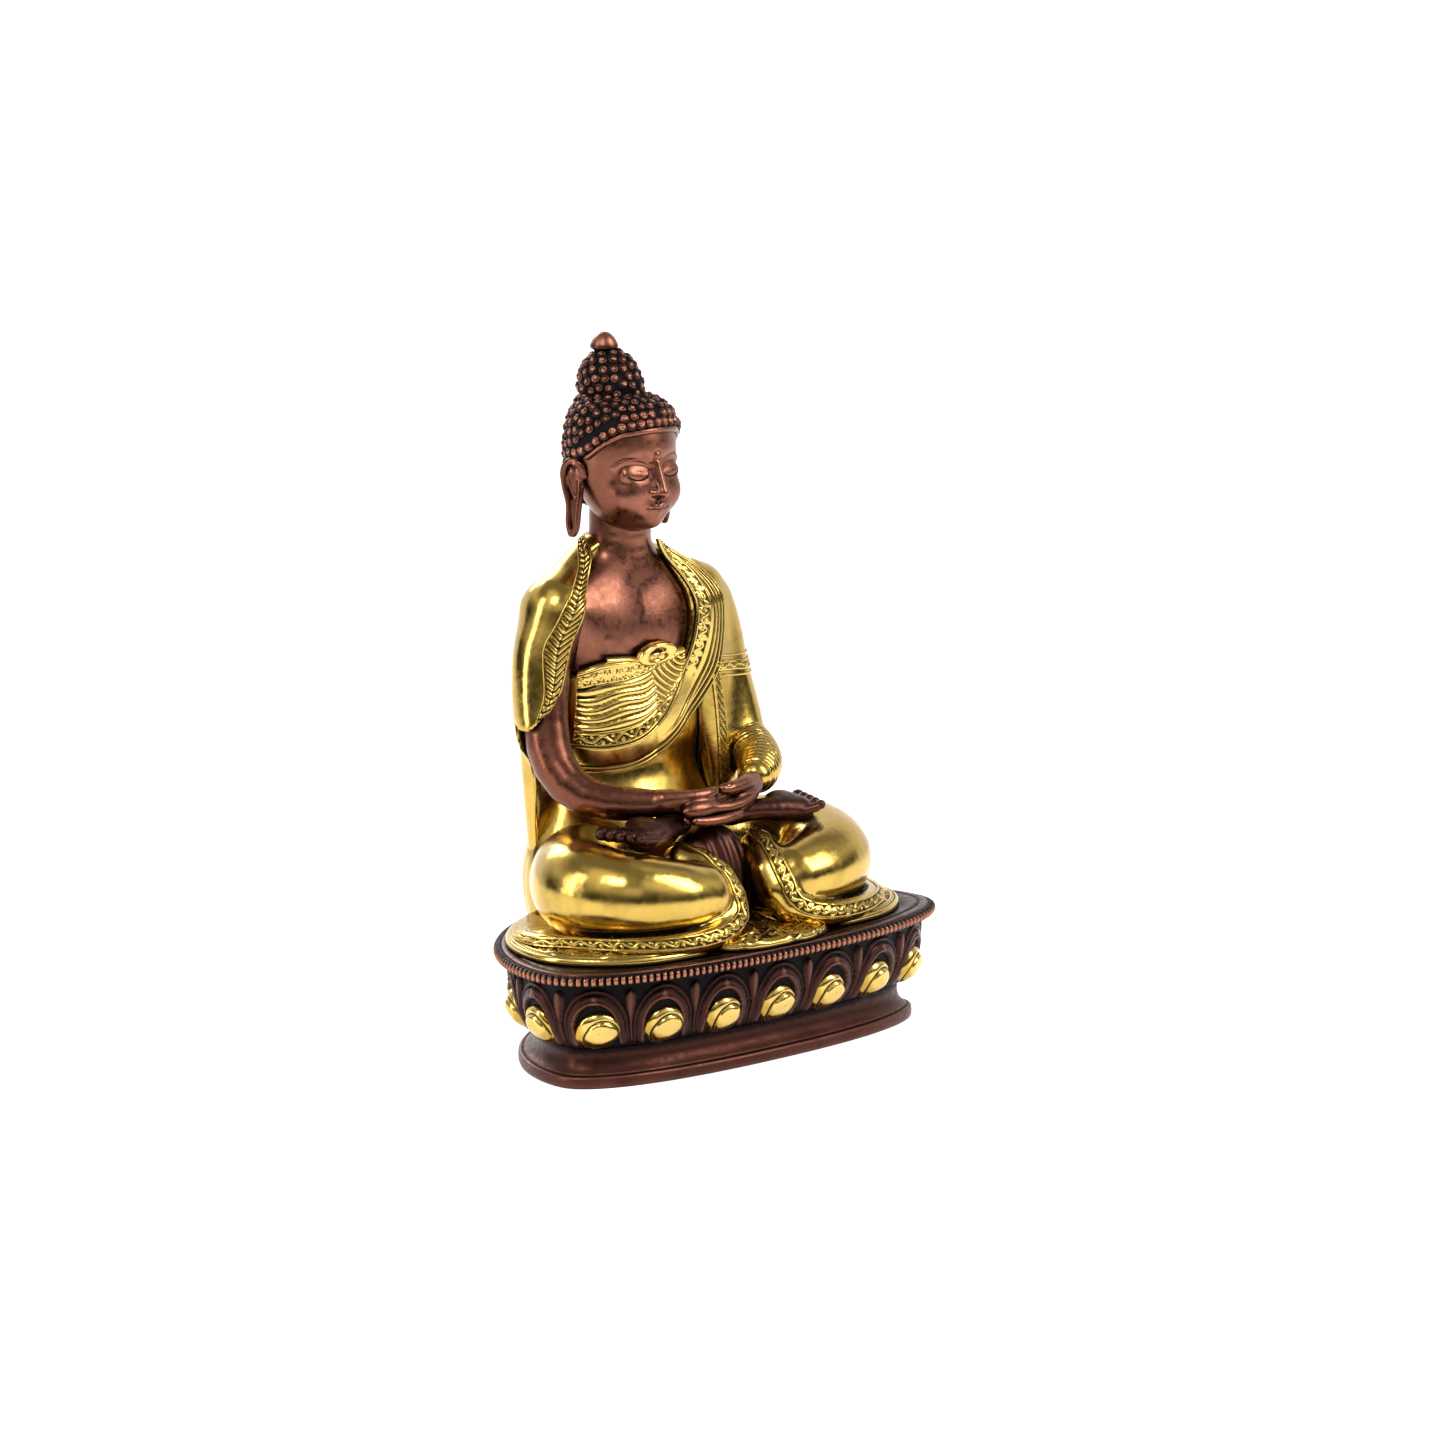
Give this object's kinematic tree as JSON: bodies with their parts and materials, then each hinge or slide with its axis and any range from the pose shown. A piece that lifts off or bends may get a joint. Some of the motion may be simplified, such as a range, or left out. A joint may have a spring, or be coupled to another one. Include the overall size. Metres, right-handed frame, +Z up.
{
  "type": "seated buddha statue",
  "caption": "Seated buddha in meditation on an oval lotus pedestal, a two-tone brass and copper figure that stands on a flat foot.",
  "frame": {"origin": "centre of the bounding box in plan, on the plane the foot stands on", "axes": "+Z up, the figure faces -Y, +X is the figure's left"},
  "size_m": [0.1658, 0.1, 0.2227],
  "materials": {
    "copper_skin": "satin copper plating, darkened in the hollows",
    "dark_copper": "dark antiqued copper, rubbed bright on the edges",
    "hair_copper": "near-black antiqued copper with rubbed highlights",
    "polished_brass": "polished brass with dark engraved lines",
    "plain_steel": "plain turned steel"
  },
  "bodies": {
    "root": {"base_cover_plate": "copper_skin", "bead_rim": "dark_copper", "deck_plate": "dark_copper", "finial": "hair_copper", "fixing_nut": "plain_steel", "fixing_stud": "plain_steel", "fixing_washer": "plain_steel", "hair_cap": "hair_copper", "head": "copper_skin", "hem_apron": "polished_brass", "lap_panel": "copper_skin", "left_cuff": "polished_brass", "left_ear": "copper_skin", "left_foot": "copper_skin", "left_hand": "copper_skin", "left_leg": "polished_brass", "left_sleeve": "polished_brass", "lotus_wall": "dark_copper", "petal_boss_01": "polished_brass", "petal_boss_02": "polished_brass", "petal_boss_03": "polished_brass", "petal_boss_04": "polished_brass", "petal_boss_05": "polished_brass", "petal_boss_06": "polished_brass", "petal_boss_07": "polished_brass", "petal_boss_08": "polished_brass", "petal_boss_09": "polished_brass", "petal_boss_10": "polished_brass", "petal_boss_11": "polished_brass", "petal_boss_12": "polished_brass", "petal_boss_13": "polished_brass", "petal_boss_14": "polished_brass", "petal_boss_15": "polished_brass", "petal_boss_16": "polished_brass", "petal_boss_17": "polished_brass", "plinth_foot": "dark_copper", "right_arm": "copper_skin", "right_ear": "copper_skin", "right_foot": "copper_skin", "right_hand": "copper_skin", "right_leg": "polished_brass", "robe_body": "polished_brass", "shawl_right": "polished_brass", "torso": "copper_skin", "under_robe": "polished_brass", "ushnisha": "hair_copper", "waist_wrap": "polished_brass"}
  },
  "joints": []
}
